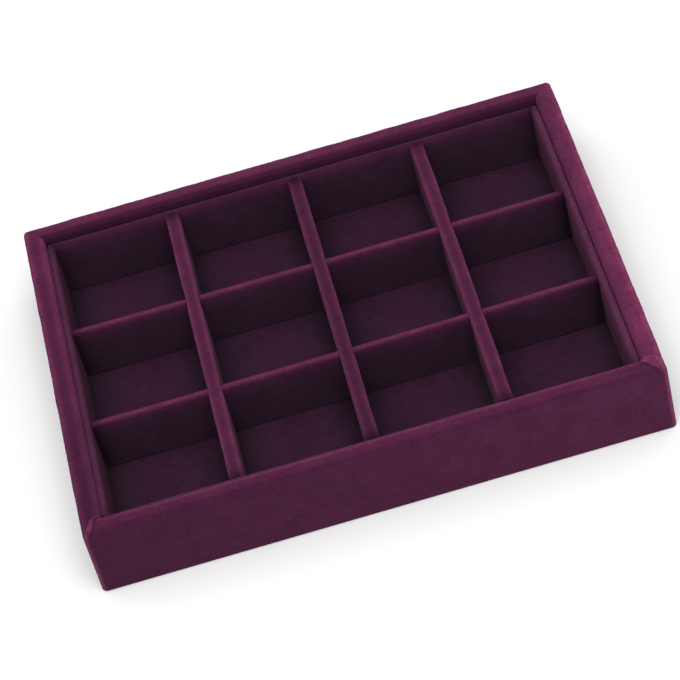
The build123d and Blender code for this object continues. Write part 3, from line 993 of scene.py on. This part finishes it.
def divider_wrap(
    name, size, crossings, slot_width, slots_below, stray_shares, turn, place, level, material
):
    """A divider's velvet: up one face, over the top and down the other, slotted for the lap joints.

    It is worked out along X and then turned and moved. Near each lap the faces draw in by the pinch times
    exp(-(distance / reach) ** 2). A face gives way by no more than its velvet does, so the board stays
    inside. Slots are quads that are left out, below the lap's height or above it. The level is the
    painted light on the crown.
    """
    wraps, pile = bpy.context.scene.tray_wraps, bpy.context.scene.tray_pile
    length, thickness, top = size
    lap = FLOOR_TOP + wraps.lap_share * (CROSS_TOP - FLOOR_TOP)
    half = thickness / 2
    section = section_line(
        [(-half, FLOOR_TOP), (-half, lap), (-half, top), (half, top), (half, lap), (half, FLOOR_TOP)],
        [0, wraps.divider_radius, wraps.divider_radius, 0],
        wraps.mesh_step, wraps.arc_steps,
    )
    run = run_of(section)
    half_slot = slot_width / 2 - wraps.lap_bite
    breaks = sorted([-length / 2, length / 2, *(x + e * half_slot for x in crossings for e in (-1, 1))])
    columns = runs(breaks, wraps.mesh_step)
    x = np.broadcast_to(columns[None, :], (len(section), len(columns)))
    y = np.broadcast_to(section[:, :1], x.shape)
    z = np.broadcast_to(section[:, 1:], x.shape)
    points = np.stack([x, y, z], axis=-1)
    world = turned(points, turn) + np.array(place)
    # Painted shade with depth, painted light on the crown, painted shade at the ends, and painted
    # highlights along the edges or the middle of the crown.
    painted_light, shade_tint = shaded(world, top - wraps.divider_radius, 1.0 if slots_below else pile.cross_deep_share)
    up = upward(world, CROWN_LEVEL)
    painted_light = painted_light * (1 + (level - 1) * up) * end_light(length / 2 - np.abs(x))
    if slots_below:
        painted_light = painted_light * edge_highlight(section, top, pile.long_highlight)
    else:
        painted_light = painted_light * middle_highlight(section, top, pile.cross_highlight, pile.cross_reach)
    lift = unevenness(world, DIVIDER_SEED) * smooth_step(z, *GRID_FOOT)
    points = points + outward(points) * lift[..., None]
    moved = strayed(2 * x / length, stray_shares) * (-1) ** turn
    if slots_below:
        nearness = sum(np.exp(-((x - crossing) / wraps.pinch_reach) ** 2) for crossing in crossings)
        moved = moved - wraps.pinch * nearness * smooth_step(z, lap, top) * np.sign(section[:, :1])
    room = wraps.give + np.minimum(lift, 0)
    points[..., 1] += np.where(section[:, :1] > 0, np.maximum(moved, -room), np.minimum(moved, room))
    quad_places = (columns[:-1] + columns[1:]) / 2
    quad_heights = (section[:-1, 1] + section[1:, 1]) / 2
    in_slot = np.any([np.abs(quad_places - crossing) < half_slot for crossing in crossings], axis=0)
    lap_side = quad_heights < lap if slots_below else quad_heights > lap
    keep = ~(lap_side[:, None] & in_slot[None, :])
    world = turned(points, turn) + np.array(place)
    cloth = cloth_object(f"{name}_wrap", world, x, run[:, None], painted_light, shade_tint, keep)
    finish_cloth(cloth, material, "grid", f"{name}_velvet")


def compartment_bulge(values, pitch, width, count):
    """How full the floor's velvet is across one direction: 0 under a divider, 1 in a compartment.

    With s from -1 to 1 across a compartment it is 1 - s ** 8, and nothing outside.
    Returns that, and exp(-distance / reach) by the distance to the nearest foot, for the floor's painted
    shade.
    """
    shifted = np.abs(((values / pitch + count / 2) % 1 - 0.5) * pitch)
    foot = np.exp(-np.maximum(width / 2 - shifted, 0) / bpy.context.scene.tray_pile.foot_reach)
    return 1 - np.clip(shifted * 2 / width, 0, 1) ** 8, foot


class TRAY_OT_boards(bpy.types.Operator):
    """Gives the boards inside the wraps their raw fibre and card"""

    bl_idname = "tray.boards"
    bl_label = "Boards"

    def execute(self, context):
        boards = context.scene.tray_boards
        fibreboard = board_material(
            "Raw MDF fibreboard", boards.fibreboard_colour, boards.fibreboard_dark, boards.fibreboard_grain
        )
        greyboard = board_material(
            "Recycled greyboard", boards.greyboard_colour, boards.greyboard_dark, boards.greyboard_grain
        )
        for name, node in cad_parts.items():
            if name.endswith("board"):
                node.data.materials.clear()
                node.data.materials.append(fibreboard if "wall" in name else greyboard)
        return {"FINISHED"}


class TRAY_OT_wall_wraps(bpy.types.Operator):
    """Wraps the four walls in velvet, mitred and folded at the corners"""

    bl_idname = "tray.wall_wraps"
    bl_label = "Wall wraps"

    def execute(self, context):
        material = velvet_material()
        for side in SIDES:
            wall_wrap(side, material)
        return {"FINISHED"}


class TRAY_OT_floor(bpy.types.Operator):
    """Lays the velvet floor of the compartments and the cloth under the base"""

    bl_idname = "tray.floor"
    bl_label = "Floor and underside"

    def execute(self, context):
        wraps, pile = context.scene.tray_wraps, context.scene.tray_pile
        low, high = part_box("floor_velvet")
        step = FLOOR_COARSENESS * wraps.mesh_step
        columns = runs([low[0], high[0]], step)
        rows = runs([low[1], high[1]], step)
        y, x = np.meshgrid(rows, columns, indexing="ij")
        column_pitch = LONG_XS["right"] - LONG_XS["centre"]
        row_pitch = CROSS_YS["rear"] - CROSS_YS["front"]
        full_x, foot_x = compartment_bulge(x, column_pitch, column_pitch - LONG_THICKNESS, len(LONG_XS) + 1)
        full_y, foot_y = compartment_bulge(y, row_pitch, row_pitch - CROSS_THICKNESS, len(CROSS_YS) + 1)
        points = np.stack([x, y, np.full_like(x, high[2])], axis=-1)
        points[..., 2] += full_x * full_y * (wraps.bulge + unevenness(points, FLOOR_SEED))
        # Painted shade on the floor and along the dividers' feet, and its share of painted shade colour.
        at_long, at_cross = pile.foot_shade_share
        painted_light = pile.floor * (1 - at_long * foot_x) * (1 - at_cross * foot_y)
        shade_tint = np.minimum(pile.floor_shade_tint_share + pile.foot_shade_tint_share * foot_x, 1)
        cloth = cloth_object("floor_cloth", points, x, y, painted_light, shade_tint)
        material = velvet_material()
        finish_cloth(cloth, material, "tray", "floor_velvet")
        self.underside(context.scene.tray_boards)
        return {"FINISHED"}

    def underside(self, boards):
        """A flat woven sheet, facing down, so its columns run from right to left."""
        low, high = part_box("underside_cloth")
        columns = np.linspace(high[0], low[0], UNDERSIDE_COLUMNS)
        rows = np.linspace(low[1], high[1], UNDERSIDE_ROWS)
        y, x = np.meshgrid(rows, columns, indexing="ij")
        points = np.stack([x, y, np.full_like(x, low[2])], axis=-1)
        cloth = cloth_object("underside_backing", points, x, y, 1.0, 0.0)
        material = backing_material(
            "Woven cotton backing", boards.backing_colour, boards.backing_dark, boards.backing_thread
        )
        finish_cloth(
            cloth, material, "tray", "underside_cloth"
        )


class TRAY_OT_liner_wraps(bpy.types.Operator):
    """Wraps the liner of the grid in velvet, mitred at the corners"""

    bl_idname = "tray.liner_wraps"
    bl_label = "Liner wraps"

    def execute(self, context):
        material = velvet_material()
        for side in SIDES:
            liner_wrap(side, material)
        return {"FINISHED"}


class TRAY_OT_divider_wraps(bpy.types.Operator):
    """Wraps the long and the cross dividers in velvet, half-lapped where they meet"""

    bl_idname = "tray.divider_wraps"
    bl_label = "Divider wraps"

    def execute(self, context):
        material = velvet_material()
        bites = 2 * context.scene.tray_wraps.end_bite
        for (name, x), level in zip(LONG_XS.items(), context.scene.tray_pile.long_level):
            size = (INNER_DEPTH + bites, LONG_THICKNESS, LONG_TOP)
            divider_wrap(
                f"{name}_long_divider", size, list(CROSS_YS.values()),
                CROSS_THICKNESS, True, LONG_STRAY_SHARES[name], 1, (x, 0, 0), level, material,
            )
        for name, y in CROSS_YS.items():
            size = (INNER_LENGTH + bites, CROSS_THICKNESS, CROSS_TOP)
            divider_wrap(
                f"{name}_cross_divider", size, list(LONG_XS.values()),
                LONG_THICKNESS, False, CROSS_STRAY_SHARES[name], 0, (0, y, 0), 1.0, material,
            )
        return {"FINISHED"}


class TRAY_OT_stage(bpy.types.Operator):
    """Sets the pale floor, the soft light and the camera at the photo's angle"""

    bl_idname = "tray.stage"
    bl_label = "Stage"

    def execute(self, context):
        self.floor(context)
        self.light(context)
        self.camera(context)
        return {"FINISHED"}

    def floor(self, context):
        """A white sheet of paper on a table, white to the camera and a little darker to the object."""
        stage = context.scene.tray_stage
        material, tree = new_material("White paper")
        path = add_node(tree, "ShaderNodeLightPath").outputs
        seen = add_node(
            tree, "ShaderNodeMath", {"operation": "MAXIMUM"}, i0=path["Is Camera Ray"],
            i1=path["Is Glossy Ray"],
        ).outputs[0]
        seen = add_node(
            tree, "ShaderNodeMath", {"operation": "MAXIMUM"}, i0=seen, i1=path["Is Transmission Ray"]
        ).outputs[0]
        plain = add_node(tree, "ShaderNodeBsdfDiffuse", Color=linear(stage.floor_colour)).outputs[0]
        white = add_node(tree, "ShaderNodeBsdfDiffuse", Color=linear(stage.floor_white)).outputs[0]
        mixed = add_node(tree, "ShaderNodeMixShader", Fac=seen, i1=plain, i2=white).outputs[0]
        add_node(tree, "ShaderNodeOutputMaterial", Surface=mixed)
        reach = stage.floor_reach * TRAY_LENGTH
        mesh = bpy.data.meshes.new("floor")
        corners = [(-reach, -reach, 0), (reach, -reach, 0), (reach, reach, 0), (-reach, reach, 0)]
        mesh.from_pydata(corners, [], [(0, 1, 2, 3)])
        mesh.materials.append(material)
        floor = bpy.data.objects.new("stage_floor", mesh)
        context.scene.collection.objects.link(floor)

    def light(self, context):
        """An even white sky, and one large soft lamp above the tray and to its front."""
        stage = context.scene.tray_stage
        world = bpy.data.worlds.new("Studio")
        world.use_nodes = True
        tree = world.node_tree
        tree.nodes.clear()
        background = add_node(
            tree, "ShaderNodeBackground", Color=(1, 1, 1, 1), Strength=stage.sky
        ).outputs[0]
        add_node(tree, "ShaderNodeOutputWorld", Surface=background)
        context.scene.world = world
        lamp = bpy.data.lights.new("softbox", "AREA")
        lamp.energy = stage.key
        lamp.shape = "SQUARE"
        lamp.size = stage.key_size * TRAY_LENGTH
        softbox = bpy.data.objects.new("softbox", lamp)
        place = Vector(stage.key_place) * TRAY_LENGTH
        aim = (-place).to_track_quat("-Z", "Y").to_matrix().to_4x4()
        softbox.matrix_world = Matrix.Translation(place) @ aim
        context.scene.collection.objects.link(softbox)

    def camera(self, context):
        """The photo's camera: forward from azimuth and elevation, then rolled about that line."""
        stage = context.scene.tray_stage
        azimuth, elevation, roll = stage.azimuth, stage.elevation, stage.roll
        level = Vector((math.cos(azimuth), -math.sin(azimuth), 0))
        forward = Vector((
            math.sin(azimuth) * math.cos(elevation),
            math.cos(azimuth) * math.cos(elevation),
            -math.sin(elevation),
        ))
        upright = level.cross(forward)
        right = level * math.cos(roll) + upright * math.sin(roll)
        up = upright * math.cos(roll) - level * math.sin(roll)
        axes = Matrix((right, up, -forward)).transposed().to_4x4()
        data = bpy.data.cameras.new("photo_camera")
        data.sensor_fit = "HORIZONTAL"
        data.sensor_width = SENSOR_WIDTH_MM
        data.lens = stage.focal_pixels / PHOTO_PIXELS * SENSOR_WIDTH_MM
        data.clip_end = CLIP_LENGTHS * TRAY_LENGTH
        camera = bpy.data.objects.new("photo_camera", data)
        camera.matrix_world = Matrix.Translation(stage.camera_place) @ axes
        context.scene.collection.objects.link(camera)
        context.scene.camera = camera
        context.scene.view_settings.view_transform = "Standard"


class VIEW3D_PT_velvet_tray(bpy.types.Panel):
    """Lists the tray's pieces and its sizes"""

    bl_label = "Velvet tray"
    bl_space_type = "VIEW_3D"
    bl_region_type = "UI"
    bl_category = "Velvet tray"

    def draw(self, context):
        layout = self.layout
        for operator in OPERATORS:
            layout.operator(operator.bl_idname)
        for name, kind in GROUPS.items():
            box = layout.box()
            for setting in kind.__annotations__:
                box.prop(getattr(context.scene, name), setting)


OPERATORS = (
    TRAY_OT_stage,
    TRAY_OT_boards,
    TRAY_OT_wall_wraps,
    TRAY_OT_floor,
    TRAY_OT_liner_wraps,
    TRAY_OT_divider_wraps,
)
GROUPS = {
    "tray_wraps": WrapSettings,
    "tray_pile": PileSettings,
    "tray_boards": BoardSettings,
    "tray_stage": StageSettings,
}
CLASSES = (*GROUPS.values(), *OPERATORS, VIEW3D_PT_velvet_tray)


def register():
    """Makes the settings, the operators and the panel known."""
    for item in CLASSES:
        bpy.utils.register_class(item)
    for name, kind in GROUPS.items():
        setattr(bpy.types.Scene, name, PointerProperty(type=kind))


def unregister():
    """Takes them away again."""
    for name in reversed(GROUPS):
        delattr(bpy.types.Scene, name)
    for item in reversed(CLASSES):
        bpy.utils.unregister_class(item)


def main():
    """Builds every piece in order."""
    register()
    bpy.ops.tray.stage()
    bpy.ops.tray.boards()
    bpy.ops.tray.wall_wraps()
    bpy.ops.tray.floor()
    bpy.ops.tray.liner_wraps()
    bpy.ops.tray.divider_wraps()


if __name__ == "__main__":
    main()
